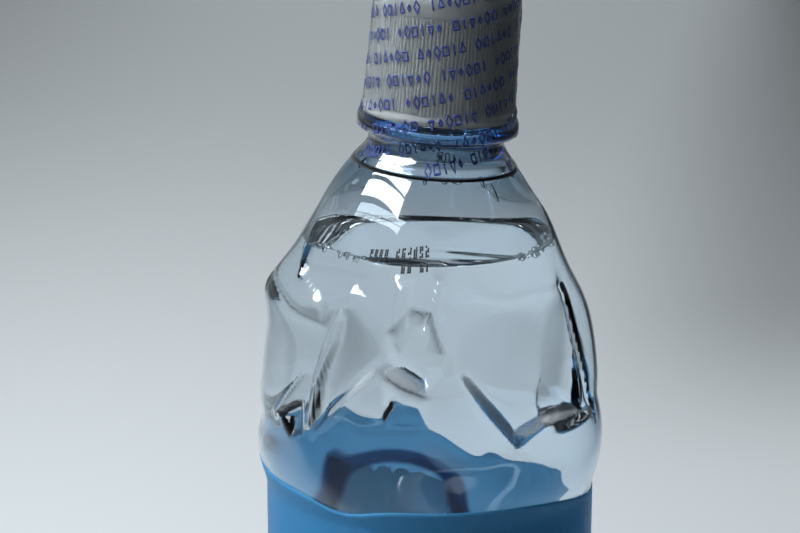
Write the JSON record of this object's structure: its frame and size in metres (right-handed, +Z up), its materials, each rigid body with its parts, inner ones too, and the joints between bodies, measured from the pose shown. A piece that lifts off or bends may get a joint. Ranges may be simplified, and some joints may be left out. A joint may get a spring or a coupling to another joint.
{
  "type": "crumpled water bottle",
  "caption": "Sealed clear plastic water bottle, full to the shoulder, with a crumpled upper body, ribbed closure under shrink film and a blue wrap label.",
  "frame": {"origin": "centre of the base ring, on the surface that the bottle stands on", "axes": "+Z up along the body, -Y towards the front, where the deepest crumples are; the neck leans towards +X"},
  "size_m": [0.074, 0.074, 0.2554],
  "materials": {
    "clear_pet": "clear, faintly blue, blow moulded, glossy",
    "water": "clear still water",
    "label_film": "printed blue film, satin gloss",
    "white_plastic": "white moulded polypropylene, fine vertical ribs",
    "natural_plastic": "milky soft polyethylene",
    "dark_blue_plastic": "dark blue moulded polypropylene",
    "shrink_film": "clear film, shrunk tight, with rows of blue print marks"
  },
  "bodies": {
    "root": {"bottle": "clear_pet", "water": "water", "label": "label_film", "closure_base": "white_plastic", "drinking_spout": "natural_plastic", "dust_cap": "dark_blue_plastic", "shrink_seal": "shrink_film"}
  },
  "joints": []
}
